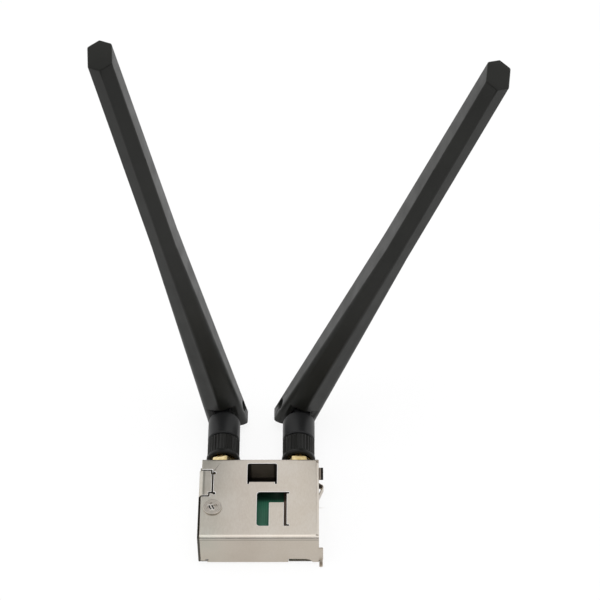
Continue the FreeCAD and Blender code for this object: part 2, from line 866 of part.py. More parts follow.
def cheek_corners():
    # Both cheeks end in a round lobe, seen from the front
    corners = []
    for side in (-1, 1):
        middle = side * (foot_width / 2 - cheek_round)
        level = cheek_round - fork_radius
        far = side * foot_width
        block = box(min(middle, far), max(middle, far), -foot_depth, foot_depth, -fork_radius * 2, level)
        axis_start = Vector(middle, -foot_depth, level)
        lobe = Part.makeCylinder(cheek_round, foot_depth * 2, axis_start, Vector(0, 1, 0))
        corners.append(block.cut(lobe))
    return corners[0].fuse(corners[1])


def fork_slot():
    half = tongue_thickness / 2 + fork_slot_clearance
    back = tongue_radius + fork_back_clearance
    slot = box(-half, half, -foot_depth, back, -fork_radius * 2, fork_slot_top)
    high = [e for e in slot.Edges if e.CenterOfMass.z > fork_slot_top - 0.1]
    top_edge = [e for e in high if e.CenterOfMass.y > tongue_radius]
    return slot.makeFillet(fork_slot_top - tongue_radius, top_edge)


def fork_front():
    # Below the blade's front wall the two cheeks stand back from it
    wide = foot_width * 2
    front = -foot_depth / 2 + cheek_setback
    return box(-wide, wide, -foot_depth * 2, front, -fork_radius * 2, fork_slot_top)


def pin_bores():
    bore = Part.makeCylinder(hinge_pin_radius, foot_width * 2, Vector(-foot_width, 0, 0), Vector(1, 0, 0))
    recess = hinge_face() - hinge_recess_depth
    ends = []
    for side in (-1, 1):
        start = Vector(side * recess, 0, 0)
        ends.append(Part.makeCylinder(hinge_recess_radius, foot_width, start, Vector(side, 0, 0)))
    return bore.fuse(ends)


def hinge_face():
    # Half width of the paddle at the hinge line
    rise = fork_radius / (fork_radius + waist_height)
    return (foot_width + (waist_width - foot_width) * rise) / 2


def build_hinge_pin():
    reach = hinge_face() - hinge_recess_depth
    pin = Part.makeCylinder(hinge_pin_radius, reach * 2, Vector(-reach, hinge_line, 0), Vector(1, 0, 0))
    rims = [e for e in pin.Edges if e.Length > 4 * hinge_pin_radius]
    return pin.makeChamfer(hinge_pin_radius * 0.15, rims)


def seat(shape, x, lean):
    # From the jack's own axis to its place on the rear wall
    shape = shape.copy()
    shape.rotate(Vector(0, 0, 0), Vector(0, 1, 0), lean)
    return shape.translated(Vector(x, rear_face, jack_height))


def build_all():
    nodes = {
        "bracket_cover": build_cover(),
        "bracket_tray": build_tray(),
        "insulating_film": build_film(),
        "card_board": build_board(),
        "card_shield": build_shield(),
        "card_front_socket": build_socket(-1),
        "card_rear_socket": build_socket(1),
        "card_screw": build_screw(),
        "card_standoff": build_standoff(),
        "card_spacer": build_spacer(),
    }
    fixed = {
        "jack_body": build_jack(),
        "jack_insulator": build_jack_insulator(),
        "jack_contact": build_jack_contact(),
        "lock_washer": build_washer(),
        "hex_nut": build_hex_nut(),
    }
    turning = {
        "coupling_sleeve": build_sleeve(),
        "coupling_insert": build_insert(),
        "ferrule": build_ferrule(),
        "centre_pin": build_centre_pin(),
        "antenna_base": build_base(),
        "hinge_pin": build_hinge_pin(),
        "antenna_paddle": build_paddle(),
    }
    sides = (
        ("left", jack_left, left_lean_angle, left_hex_angle),
        ("right", jack_right, right_lean_angle, right_hex_angle),
    )
    for side, x, lean, hex_turn in sides:
        for name, shape in fixed.items():
            nodes[side + "_" + name] = seat(shape, x, hex_turn if name == "hex_nut" else 0)
        for name, shape in turning.items():
            nodes[side + "_" + name] = seat(shape, x, lean)
    return nodes


os.makedirs("parts", exist_ok=True)
for name, shape in build_all().items():
    shape.exportStep("parts/" + name + ".step")
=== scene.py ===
import json
import math
import bmesh
import bpy
from mathutils import Matrix, Vector

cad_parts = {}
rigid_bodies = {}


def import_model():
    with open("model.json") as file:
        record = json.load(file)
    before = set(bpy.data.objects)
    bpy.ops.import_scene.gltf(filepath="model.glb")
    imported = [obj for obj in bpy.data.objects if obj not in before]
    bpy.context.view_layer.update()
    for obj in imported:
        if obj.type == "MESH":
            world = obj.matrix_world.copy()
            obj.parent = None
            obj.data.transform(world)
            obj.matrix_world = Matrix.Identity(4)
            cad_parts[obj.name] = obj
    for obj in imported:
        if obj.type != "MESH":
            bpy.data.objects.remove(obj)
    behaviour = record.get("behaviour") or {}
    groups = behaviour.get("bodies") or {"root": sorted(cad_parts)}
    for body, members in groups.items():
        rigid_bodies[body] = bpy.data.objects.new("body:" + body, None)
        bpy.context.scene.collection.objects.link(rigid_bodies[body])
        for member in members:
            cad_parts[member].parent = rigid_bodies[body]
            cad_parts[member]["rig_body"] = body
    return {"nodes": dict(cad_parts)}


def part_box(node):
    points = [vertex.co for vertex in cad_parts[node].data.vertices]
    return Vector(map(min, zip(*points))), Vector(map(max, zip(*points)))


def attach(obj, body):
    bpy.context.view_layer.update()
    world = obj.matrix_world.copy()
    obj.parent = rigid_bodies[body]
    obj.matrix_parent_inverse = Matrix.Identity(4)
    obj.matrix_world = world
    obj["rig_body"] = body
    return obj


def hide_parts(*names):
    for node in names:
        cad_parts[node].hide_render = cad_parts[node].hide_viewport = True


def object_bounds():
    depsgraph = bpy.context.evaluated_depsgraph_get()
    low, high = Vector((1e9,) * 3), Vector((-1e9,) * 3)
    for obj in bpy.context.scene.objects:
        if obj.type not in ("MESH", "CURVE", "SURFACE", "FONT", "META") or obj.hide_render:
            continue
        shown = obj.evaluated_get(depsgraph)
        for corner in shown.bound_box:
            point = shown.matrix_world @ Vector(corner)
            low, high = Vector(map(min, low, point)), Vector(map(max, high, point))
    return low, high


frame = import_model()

mm = 0.001  # places and sizes of pieces and finishes are in millimetres, the studio's in metres
cadBox = [list(cornerPoint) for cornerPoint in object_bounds()]
scene = bpy.context.scene
scene.view_settings.view_transform = "Standard"


# Shader building blocks

noiseRoughness = 0.55
noiseSpan = (0.3, 0.7)  # most of a noise lies in between


def startMaterial(name, roughness=0.5, metallic=0.0, specular=0.5):
    material = bpy.data.materials.new(name)
    material.use_nodes = True
    tree = material.node_tree
    shader = tree.nodes["Principled BSDF"]
    shader.inputs["Roughness"].default_value = roughness
    shader.inputs["Metallic"].default_value = metallic
    shader.inputs["Specular IOR Level"].default_value = specular
    place = tree.nodes.new("ShaderNodeTexCoord").outputs["Object"]
    return material, tree, shader, place


def noiseOf(tree, place, scale, detail, stretch=(1, 1, 1)):
    mapping = tree.nodes.new("ShaderNodeMapping")
    mapping.inputs["Scale"].default_value = stretch
    tree.links.new(place, mapping.inputs["Vector"])
    noise = tree.nodes.new("ShaderNodeTexNoise")
    noise.inputs["Scale"].default_value = scale
    noise.inputs["Detail"].default_value = detail
    noise.inputs["Roughness"].default_value = noiseRoughness
    tree.links.new(mapping.outputs["Vector"], noise.inputs["Vector"])
    return noise.outputs["Fac"]


def rangeOf(tree, value, fromLow, fromHigh, toLow=0.0, toHigh=1.0, smooth=False):
    node = tree.nodes.new("ShaderNodeMapRange")
    node.interpolation_type = "SMOOTHSTEP" if smooth else "LINEAR"
    node.inputs["From Min"].default_value = fromLow
    node.inputs["From Max"].default_value = fromHigh
    node.inputs["To Min"].default_value = toLow
    node.inputs["To Max"].default_value = toHigh
    tree.links.new(value, node.inputs["Value"])
    return node.outputs["Result"]


def stepOf(tree, value, span, toLow=0.0, toHigh=1.0, smooth=False):
    # a range between two places in millimetres
    return rangeOf(tree, value, span[0] * mm, span[1] * mm, toLow, toHigh, smooth)


def rampOf(tree, factor, *stops):
    node = tree.nodes.new("ShaderNodeValToRGB")
    stopList = node.color_ramp.elements
    while len(stopList) < len(stops):
        stopList.new(0.5)
    for stop, (position, color) in zip(stopList, stops):
        stop.position = position
        stop.color = (*color, 1)
    tree.links.new(factor, node.inputs["Fac"])
    return node.outputs["Color"]


def toneOf(tree, noise, deep, pale, span=noiseSpan):
    # a noise as a colour between two others
    return rampOf(tree, noise, (span[0], deep), (span[1], pale))


def greyOf(tone):
    return tone, tone, tone


def mixOf(tree, factor, first, second, blend="MIX"):
    node = tree.nodes.new("ShaderNodeMix")
    node.data_type = "RGBA"
    node.blend_type = blend
    # a Mix node keeps its two colours at 6 and 7 and the mixed one at 2
    for socket, value in ((node.inputs[0], factor), (node.inputs[6], first), (node.inputs[7], second)):
        if isinstance(value, bpy.types.NodeSocket):
            tree.links.new(value, socket)
        else:
            socket.default_value = value if isinstance(value, float) else (*value, 1)
    return node.outputs[2]


def mathOf(tree, operation, *values):
    node = tree.nodes.new("ShaderNodeMath")
    node.operation = operation
    for socket, value in zip(node.inputs, values):
        if isinstance(value, bpy.types.NodeSocket):
            tree.links.new(value, socket)
        else:
            socket.default_value = value
    return node.outputs[0]


def productOf(tree, product, *factors):
    for factor in factors:
        product = mathOf(tree, "MULTIPLY", product, factor)
    return product


def axisOf(tree, place, axis):
    node = tree.nodes.new("ShaderNodeSeparateXYZ")
    tree.links.new(place, node.inputs["Vector"])
    return node.outputs[axis]


def attributeOf(tree, name):
    node = tree.nodes.new("ShaderNodeAttribute")
    node.attribute_name = name
    return node.outputs["Fac"]


def bumpOf(tree, shader, height, strength, depth):
    node = tree.nodes.new("ShaderNodeBump")
    node.inputs["Strength"].default_value = strength
    node.inputs["Distance"].default_value = depth * mm
    tree.links.new(height, node.inputs["Height"])
    tree.links.new(node.outputs["Normal"], shader.inputs["Normal"])


# Finishes

zinc = {
    "left": (0.592, 0.556, 0.488),
    "middle": (0.588, 0.534, 0.472),
    "right": (0.628, 0.572, 0.502),
    "span": (-19.0, 13.0),
    "middleAt": 0.42,
    "cloudTones": (0.47, 0.53),
    "cloudScale": 95,
    "cloudSpan": (0.35, 0.65),
    "greenish": (0.46, 0.485, 0.43),
    "tinge": 0.3,
    "tingeSpan": (-9.0, -17.0),
    "patchScale": 70,
    "patchSpan": (0.38, 0.62),
    "wall": (0.790, 0.772, 0.746),
    "wallShadeLevel": (13.1, 12.5),
    "bendShade": (0.70, 0.70, 0.70),
    "bendShadeLow": (12.05, 12.25),
    "bendShadeHigh": (12.85, 12.75),
    "bendShadeFront": (-15.2, -15.3),
    "rearBendShade": (14.75, 15.15),
    "crown": (1.50, 1.50, 1.50),
    "crownRise": (-14.12, -14.38),
    "crownFall": (-15.00, -14.74),
    "crownLevel": (12.7, 12.9),
    "tab": (0.58, 0.59, 0.58),
    "tabLeft": (-18.1, -17.45),
    "tabRight": (-16.9, -17.45),
    "tabFront": (0.5, 0.6),
    "tabRear": (11.2, 11.1),
    "tabLevel": (12.0, 12.1),
    "hookShade": (0.33, 0.285, 0.245),
    "hookLevel": (9.0, 9.1),
    "hookFrom": (18.98, 19.03),
    "hookEnd": (19.60, 19.65),
    "grain": 0.12,
    "grainScale": 2600,
    "grainStretch": (1, 0.35, 1),
    "grainTones": (0.3, 0.75),
    "rimHighlight": (0.97, 0.95, 0.92),
    "bareEdgeShade": (0.018, 0.015, 0.012),
    "metallic": 0.92,
    "rimHighlightMetallic": 0.2,
    "roughness": (0.30, 0.38),
    "bump": 0.05,
    "bumpDepth": 0.03,
}


def zincPlate():
    roughness = sum(zinc["roughness"]) / 2
    material, tree, shader, place = startMaterial("zincPlate", roughness, metallic=zinc["metallic"])
    x = axisOf(tree, place, "X")
    y = axisOf(tree, place, "Y")
    z = axisOf(tree, place, "Z")
    # across the plate the tone is greener on the left, and painted light makes it palest on the right
    color = rampOf(tree, stepOf(tree, x, zinc["span"]), (0.0, zinc["left"]),
                   (zinc["middleAt"], zinc["middle"]), (1.0, zinc["right"]))
    cloud = noiseOf(tree, place, zinc["cloudScale"], detail=4)
    clouding = toneOf(tree, cloud, *map(greyOf, zinc["cloudTones"]), zinc["cloudSpan"])
    color = mixOf(tree, 1.0, color, clouding, "OVERLAY")
    # the plating turns greenish in patches near the folded-over tab
    patch = rangeOf(tree, noiseOf(tree, place, zinc["patchScale"], detail=2), *zinc["patchSpan"])
    tinge = productOf(tree, stepOf(tree, x, zinc["tingeSpan"], smooth=True), patch, zinc["tinge"])
    color = mixOf(tree, tinge, color, zinc["greenish"])
    # painted shade: the walls are a little darker than the plate
    color = mixOf(tree, stepOf(tree, z, zinc["wallShadeLevel"]), color, zinc["wall"], "MULTIPLY")
    # painted shade: a dark line under the front bend and one along the rear bend
    bendShade = productOf(tree, stepOf(tree, z, zinc["bendShadeLow"]), stepOf(tree, z, zinc["bendShadeHigh"]),
                       stepOf(tree, y, zinc["bendShadeFront"]))
    bendShade = mathOf(tree, "MAXIMUM", bendShade, stepOf(tree, y, zinc["rearBendShade"], smooth=True))
    color = mixOf(tree, bendShade, color, zinc["bendShade"], "MULTIPLY")
    # a painted highlight along the crown of the front bend
    crown = productOf(tree, stepOf(tree, y, zinc["crownRise"], smooth=True),
                      stepOf(tree, y, zinc["crownFall"], smooth=True),
                      stepOf(tree, z, zinc["crownLevel"]))
    color = mixOf(tree, crown, color, zinc["crown"], "MULTIPLY")
    # painted shade: another dark line where the lock tab bends over
    tabShadeMask = productOf(tree, stepOf(tree, x, zinc["tabLeft"], smooth=True),
                     stepOf(tree, x, zinc["tabRight"], smooth=True), stepOf(tree, y, zinc["tabFront"]),
                     stepOf(tree, y, zinc["tabRear"]), stepOf(tree, z, zinc["tabLevel"]))
    color = mixOf(tree, tabShadeMask, color, zinc["tab"], "MULTIPLY")
    # the latch hook has painted shade: brown inside, and near black at its bare end
    hook = stepOf(tree, z, zinc["hookLevel"])
    for span, stain in ((zinc["hookFrom"], zinc["hookShade"]), (zinc["hookEnd"], zinc["bareEdgeShade"])):
        color = mixOf(tree, productOf(tree, hook, stepOf(tree, x, span)), color, stain)
    grain = noiseOf(tree, place, zinc["grainScale"], detail=2, stretch=zinc["grainStretch"])
    graining = toneOf(tree, grain, *map(greyOf, zinc["grainTones"]))
    color = mixOf(tree, zinc["grain"], color, graining, "OVERLAY")
    # the sheared edges are bare; painted shade makes them near black, and a painted highlight makes their
    # punched rims bright
    rimHighlight = attributeOf(tree, "rimHighlight")
    color = mixOf(tree, rimHighlight, color, zinc["rimHighlight"])
    color = mixOf(tree, attributeOf(tree, "bareEdgeShade"), color, zinc["bareEdgeShade"])
    tree.links.new(color, shader.inputs["Base Color"])
    tree.links.new(rangeOf(tree, cloud, *noiseSpan, *zinc["roughness"]), shader.inputs["Roughness"])
    metallic = rangeOf(tree, rimHighlight, 0.0, 1.0, zinc["metallic"], zinc["rimHighlightMetallic"])
    tree.links.new(metallic, shader.inputs["Metallic"])
    bumpOf(tree, shader, grain, zinc["bump"], zinc["bumpDepth"])
    return material


moulded = {
    "cloudScale": 45,
    "deeper": 0.78,
    "paler": 1.35,
    "sheenScale": 160,
    "sheen": (-0.05, 0.06),
    "sparkDepth": 0.03,
}


def mouldedBlack(name, color, roughness, spark, sparkSize, specular):
    material, tree, shader, place = startMaterial(name, roughness, specular=specular)
    cloud = noiseOf(tree, place, moulded["cloudScale"], detail=5)
    deep = tuple(moulded["deeper"] * channel for channel in color)
    pale = tuple(moulded["paler"] * channel for channel in color)
    tree.links.new(toneOf(tree, cloud, deep, pale), shader.inputs["Base Color"])
    sheen = rangeOf(tree, noiseOf(tree, place, moulded["sheenScale"], detail=4), *noiseSpan,
                    *(roughness + change for change in moulded["sheen"]))
    tree.links.new(sheen, shader.inputs["Roughness"])
    texture = noiseOf(tree, place, 1 / (sparkSize * mm), detail=2)
    bumpOf(tree, shader, texture, spark, moulded["sparkDepth"])
    return material


yellowMetal = {
    "metallic": 1.0,
    "cloudScale": 420,
    "cloudSpan": (0.3, 0.65),
    "scuffScale": 900,
    "scuffDetail": 1,
    "scuffStretch": (0.2, 4, 0.2),
    "scuffSpan": (0.2, 0.8),
    "sheen": (-0.06, 0.1),
    "bump": 0.08,
    "bumpDepth": 0.02,
}
greySteel = {
    "metallic": 0.95,
    "cloudScale": 600,
    "cloudSpan": (0.3, 0.68),
    "scuffScale": 1500,
    "scuffDetail": 2,
    "scuffStretch": (1, 1, 1),
    "scuffSpan": (0.25, 0.75),
    "sheen": (-0.06, 0.1),
    "bump": 0.06,
    "bumpDepth": 0.02,
}


def bareMetal(name, kind, pale, deep, roughness):
    material, tree, shader, place = startMaterial(name, roughness, metallic=kind["metallic"])
    cloud = noiseOf(tree, place, kind["cloudScale"], detail=3)
    tree.links.new(toneOf(tree, cloud, deep, pale, kind["cloudSpan"]), shader.inputs["Base Color"])
    scuff = noiseOf(tree, place, kind["scuffScale"], kind["scuffDetail"], kind["scuffStretch"])
    sheen = rangeOf(tree, scuff, *kind["scuffSpan"], *(roughness + change for change in kind["sheen"]))
    tree.links.new(sheen, shader.inputs["Roughness"])
    bumpOf(tree, shader, scuff, kind["bump"], kind["bumpDepth"])
    return material


screwFinish = {
    "pale": (0.56, 0.51, 0.45),
    "deep": (0.40, 0.37, 0.33),
    "cloudScale": 700,
    "cloudSpan": (0.3, 0.6),
    "ringPitch": 0.55,
    "ringShare": 0.18,
    "recessTurn": 24.0,
    "recessAside": 0.35,
    "ridge": (0.86, 0.83, 0.78),
    "ridgeShare": 0.7,
    "ridgeWide": (0.90, 0.75),
    "ridgeLong": (1.30, 1.05),
    "fluteShade": (0.012, 0.010, 0.008),
    "fluteInner": (0.20, 0.28),
    "fluteOuter": (0.74, 0.66),
    "fluteLong": (0.95, 0.75),
    "fluteLevel": (13.6, 13.7),
    "metallic": 0.95,
    "fluteMetallic": 0.1,
    "roughness": 0.36,
    "bump": 0.25,
    "bumpDepth": 0.03,
}


def screwSteel():
    material, tree, shader, place = startMaterial("screwSteel", screwFinish["roughness"],
                                                  metallic=screwFinish["metallic"])
    low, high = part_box("card_screw")
    middle = (low + high) / 2
    centred = tree.nodes.new("ShaderNodeMapping")
    centred.inputs["Location"].default_value = (-middle.x, -middle.y, 0)
    tree.links.new(place, centred.inputs["Vector"])
    flat = tree.nodes.new("ShaderNodeVectorMath")
    flat.operation = "MULTIPLY"
    flat.inputs[1].default_value = (1, 1, 0)
    tree.links.new(centred.outputs["Vector"], flat.inputs[0])
    radius = tree.nodes.new("ShaderNodeVectorMath")
    radius.operation = "LENGTH"
    tree.links.new(flat.outputs["Vector"], radius.inputs[0])
    # turned rings on the head
    waveNumber = 2 * math.pi / (screwFinish["ringPitch"] * mm)
    wave = mathOf(tree, "SINE", productOf(tree, radius.outputs["Value"], waveNumber))
    cloud = noiseOf(tree, place, screwFinish["cloudScale"], detail=3)
    ring = mathOf(tree, "ADD", productOf(tree, wave, screwFinish["ringShare"]), cloud)
    color = toneOf(tree, ring, screwFinish["deep"], screwFinish["pale"], screwFinish["cloudSpan"])
    # the recess is painted: painted shade in two dark flutes, and a painted highlight on the ridge between
    # them
    turned = tree.nodes.new("ShaderNodeMapping")
    turned.inputs["Rotation"].default_value = (0, 0, math.radians(-screwFinish["recessTurn"]))
    tree.links.new(centred.outputs["Vector"], turned.inputs["Vector"])
    aside = axisOf(tree, turned.outputs["Vector"], "X")
    across = mathOf(tree, "ABSOLUTE", mathOf(tree, "ADD", aside, screwFinish["recessAside"] * mm))
    along = mathOf(tree, "ABSOLUTE", axisOf(tree, turned.outputs["Vector"], "Y"))
    ridge = productOf(tree, stepOf(tree, across, screwFinish["ridgeWide"]),
                      stepOf(tree, along, screwFinish["ridgeLong"]))
    fluteShade = productOf(tree, stepOf(tree, across, screwFinish["fluteInner"]),
                      stepOf(tree, across, screwFinish["fluteOuter"]),
                      stepOf(tree, along, screwFinish["fluteLong"]))
    onTop = stepOf(tree, axisOf(tree, place, "Z"), screwFinish["fluteLevel"])
    color = mixOf(tree, productOf(tree, ridge, screwFinish["ridgeShare"]), color, screwFinish["ridge"])
    color = mixOf(tree, productOf(tree, fluteShade, onTop), color, screwFinish["fluteShade"])
    tree.links.new(color, shader.inputs["Base Color"])
    metallic = rangeOf(tree, fluteShade, 0.0, 1.0, screwFinish["metallic"], screwFinish["fluteMetallic"])
    tree.links.new(metallic, shader.inputs["Metallic"])
    bumpOf(tree, shader, ring, screwFinish["bump"], screwFinish["bumpDepth"])
    return material


boardFinish = {
    "mask": (0.034, 0.156, 0.094),
    "overCopper": (0.046, 0.184, 0.114),
    "trackScale": 454.545,
    "trackWander": 2.2,
    "trackDetail": 1.0,
    "trackDetailScale": 0.6,
    "trackEdge": (0.60, 0.72),
    "pourScale": 170,
    "pourEdge": (0.50, 0.53),
    "via": (0.07, 0.21, 0.13),
    "viaPitch": 1.9,
    "viaScatter": 0.75,
    "viaEdge": (0.10, 0.13),
    "viaShare": 0.5,
    "cloudScale": 260,
    "cloudTones": (0.38, 0.62),
    "cloudShare": 0.25,
    "brownStrip": (0.17, 0.125, 0.098),
    "brownStripFrom": (7.75, 7.85),
    "brownStripTo": (10.2, 10.1),
    "shade": 0.32,
    "shadeSpan": (1.3, 3.0),
    "roughness": 0.38,
    "specular": 0.28,
    "bump": 0.1,
    "bumpDepth": 0.02,
}


def greenBoard():
    material, tree, shader, place = startMaterial("greenBoard", boardFinish["roughness"],
                                                  specular=boardFinish["specular"])
    # copper under the mask: tracks in bands that wander a little
    bands = tree.nodes.new("ShaderNodeTexWave")
    bands.wave_type = "BANDS"
    bands.bands_direction = "X"
    bands.inputs["Scale"].default_value = boardFinish["trackScale"]
    bands.inputs["Distortion"].default_value = boardFinish["trackWander"]
    bands.inputs["Detail"].default_value = boardFinish["trackDetail"]
    bands.inputs["Detail Scale"].default_value = boardFinish["trackDetailScale"]
    tree.links.new(place, bands.inputs["Vector"])
    tracks = rangeOf(tree, bands.outputs["Fac"], *boardFinish["trackEdge"])
    pour = noiseOf(tree, place, boardFinish["pourScale"], detail=0)
    pour = rangeOf(tree, pour, *boardFinish["pourEdge"])
    copper = mathOf(tree, "MAXIMUM", tracks, pour)
    color = mixOf(tree, copper, boardFinish["mask"], boardFinish["overCopper"])
    vias = tree.nodes.new("ShaderNodeTexVoronoi")
    vias.inputs["Scale"].default_value = 1 / (boardFinish["viaPitch"] * mm)
    vias.inputs["Randomness"].default_value = boardFinish["viaScatter"]
    tree.links.new(place, vias.inputs["Vector"])
    dots = rangeOf(tree, vias.outputs["Distance"], *boardFinish["viaEdge"], 1.0, 0.0)
    color = mixOf(tree, productOf(tree, dots, boardFinish["viaShare"]), color, boardFinish["via"])
    cloud = noiseOf(tree, place, boardFinish["cloudScale"], detail=2)
    clouding = toneOf(tree, cloud, *map(greyOf, boardFinish["cloudTones"]))
    color = mixOf(tree, boardFinish["cloudShare"], color, clouding, "OVERLAY")
    # a brown strip beside the plug, and painted shadow darkens the board towards its rear, where the plate
    # shades it
    x = axisOf(tree, place, "X")
    stripMask = productOf(tree, stepOf(tree, x, boardFinish["brownStripFrom"]),
                     stepOf(tree, x, boardFinish["brownStripTo"]))
    color = mixOf(tree, stripMask, color, boardFinish["brownStrip"])
    shade = stepOf(tree, axisOf(tree, place, "Y"), boardFinish["shadeSpan"],
                   1.0, boardFinish["shade"], smooth=True)
    color = mixOf(tree, 1.0, color, shade, "MULTIPLY")
    tree.links.new(color, shader.inputs["Base Color"])
    bumpOf(tree, shader, mathOf(tree, "ADD", copper, dots), boardFinish["bump"], boardFinish["bumpDepth"])
    return material


filmFinish = {
    "deep": (0.155, 0.132, 0.104),
    "pale": (0.200, 0.172, 0.138),
    "waveScale": 210,
    "litMiddle": 0.97,
    "litHalf": (3.3, 3.9),
    "litLevel": (4.2, 5.2),
    "marginShade": 0.22,
    "roughness": (0.42, 0.56),
    "specular": 0.3,
    "bump": 0.2,
    "bumpDepth": 0.1,
}


# a real insulating film, whose dark tone behind the rear window also stands in for the shade inside the
# box
def blackFilm():
    material, tree, shader, place = startMaterial("blackFilm", specular=filmFinish["specular"])
    wave = noiseOf(tree, place, filmFinish["waveScale"], detail=2)
    color = toneOf(tree, wave, filmFinish["deep"], filmFinish["pale"])
    # painted shade: paler behind the middle of the rear window, darker towards its sides and low down
    marginShade = filmFinish["marginShade"]
    aside = mathOf(tree, "SUBTRACT", axisOf(tree, place, "X"), filmFinish["litMiddle"] * mm)
    across = stepOf(tree, mathOf(tree, "ABSOLUTE", aside), filmFinish["litHalf"], 1.0, marginShade, True)
    upward = stepOf(tree, axisOf(tree, place, "Z"), filmFinish["litLevel"], marginShade, 1.0, True)
    color = mixOf(tree, 1.0, color, productOf(tree, across, upward), "MULTIPLY")
    tree.links.new(color, shader.inputs["Base Color"])
    tree.links.new(rangeOf(tree, wave, *noiseSpan, *filmFinish["roughness"]), shader.inputs["Roughness"])
    bumpOf(tree, shader, wave, filmFinish["bump"], filmFinish["bumpDepth"])
    return material


insulatorFinish = {
    "deep": (0.72, 0.71, 0.67),
    "pale": (0.80, 0.79, 0.76),
    "cloudScale": 500,
    "specular": 0.4,
    "bump": 0.05,
    "bumpDepth": 0.02,
}


def whiteInsulator():
    material, tree, shader, place = startMaterial("whiteInsulator", specular=insulatorFinish["specular"])
    cloud = noiseOf(tree, place, insulatorFinish["cloudScale"], detail=3)
    color = toneOf(tree, cloud, insulatorFinish["deep"], insulatorFinish["pale"])
    tree.links.new(color, shader.inputs["Base Color"])
    bumpOf(tree, shader, cloud, insulatorFinish["bump"], insulatorFinish["bumpDepth"])
    return material


finishes = {
    "plated_steel": zincPlate(),
    "black_film": blackFilm(),
    "green_board": greenBoard(),
    "tin_can": bareMetal("tinCan", greySteel, pale=(0.62, 0.61, 0.58), deep=(0.50, 0.49, 0.47),
                         roughness=0.34),
    "gold_plate": bareMetal("goldPlate", yellowMetal, pale=(0.87, 0.72, 0.41), deep=(0.56, 0.41, 0.17),
                            roughness=0.13),
    "turned_brass": bareMetal("turnedBrass", yellowMetal, pale=(0.78, 0.58, 0.26), deep=(0.62, 0.43, 0.16),
                              roughness=0.30),
    "screw_steel": screwSteel(),
    "pin_steel": bareMetal("pinSteel", greySteel, pale=(0.10, 0.10, 0.10), deep=(0.05, 0.05, 0.05),
                           roughness=0.42),
    "white_insulator": whiteInsulator(),
    "nut_plastic": mouldedBlack("nutPlastic", (0.0095, 0.0095, 0.0085), roughness=0.42,
                                spark=0.14, sparkSize=0.16, specular=0.20),
    "antenna_plastic": mouldedBlack("antennaPlastic", (0.0105, 0.0108, 0.0090), roughness=0.40,
                                    spark=0.14, sparkSize=0.18, specular=0.24),
}
basePlastic = mouldedBlack("basePlastic", (0.0125, 0.0128, 0.0132), roughness=0.40,
                           spark=0.12, sparkSize=0.14, specular=0.26)
print("finishes made:", len(finishes) + 1)


# Pieces

# lengths in millimetres, angles in degrees
meshing = {
    "merge": 0.002,
    "cut": 0.0002,
    "onCut": 0.001,
    "flatAngle": 0.3,
    "bevelAngle": 32,
    "sharpAngle": 38,
    "flatWeight": 90,
}


def mergedForm(node):
    form = bmesh.new()
    form.from_mesh(frame["nodes"][node].data)
    bmesh.ops.remove_doubles(form, verts=form.verts, dist=meshing["merge"] * mm)
    return form


def sliceForm(form, point, normal):
    bmesh.ops.bisect_plane(form, geom=form.verts[:] + form.edges[:] + form.faces[:],
                           dist=meshing["cut"] * mm, plane_co=point, plane_no=normal)


def flatPanels(form, cuts=()):
    # cuts run through the openings, so that each flat face becomes panels without a hole
    for axis, place in cuts:
        normal = Vector((axis == "x", axis == "y", axis == "z"))
        sliceForm(form, normal * place * mm, normal)

    def onCut(edge):
        for axis, place in cuts:
            index = "xyz".index(axis)
            if all(abs(corner.co[index] - place * mm) < meshing["onCut"] * mm for corner in edge.verts):
                return True
        return False

    inner = [edge for edge in form.edges if not onCut(edge)]
    bmesh.ops.dissolve_limit(form, angle_limit=math.radians(meshing["flatAngle"]), verts=form.verts[:],
                             edges=inner, use_dissolve_boundaries=False, delimit=set())


def breakEdges(form, width, segments=2, inFrontOf=None):
    limit = math.radians(meshing["bevelAngle"])
    sharp = [edge for edge in form.edges if edge.is_manifold and edge.calc_face_angle(0) > limit]
    if inFrontOf is not None:
        sharp = [edge for edge in sharp if max(corner.co.y for corner in edge.verts) < inFrontOf * mm]
    made = bmesh.ops.bevel(form, geom=sharp, offset=width * mm, offset_type="OFFSET", affect="EDGES",
                           segments=segments, profile=0.5, material=-1, clamp_overlap=False)
    return made["faces"]


def edgeLayers(form):
    return form.faces.layers.float.new("bareEdgeShade"), form.faces.layers.float.new("rimHighlight")


def pieceFrom(form, pieceName, material, body, nodes=()):
    for face in form.faces:
        face.smooth = True
    mesh = bpy.data.meshes.new(pieceName)
    form.to_mesh(mesh)
    form.free()
    mesh.materials.clear()
    mesh.materials.append(material)
    mesh.set_sharp_from_angle(angle=math.radians(meshing["sharpAngle"]))
    piece = bpy.data.objects.new(pieceName, mesh)
    scene.collection.objects.link(piece)
    weights = piece.modifiers.new("flatFaces", "WEIGHTED_NORMAL")
    weights.keep_sharp = True
    weights.weight = meshing["flatWeight"]
    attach(piece, body)
    if nodes:
        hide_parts(*nodes)


collar = {
    "rim": 0.22,
    "rimSegments": 3,
    "rimReach": 0.02,
    "grooveBehind": 1.40,
    "grooveHalf": 0.24,
    "grooveDeep": 0.38,
    "grooveReach": 0.001,
    "outerRadius": 5.1,
}


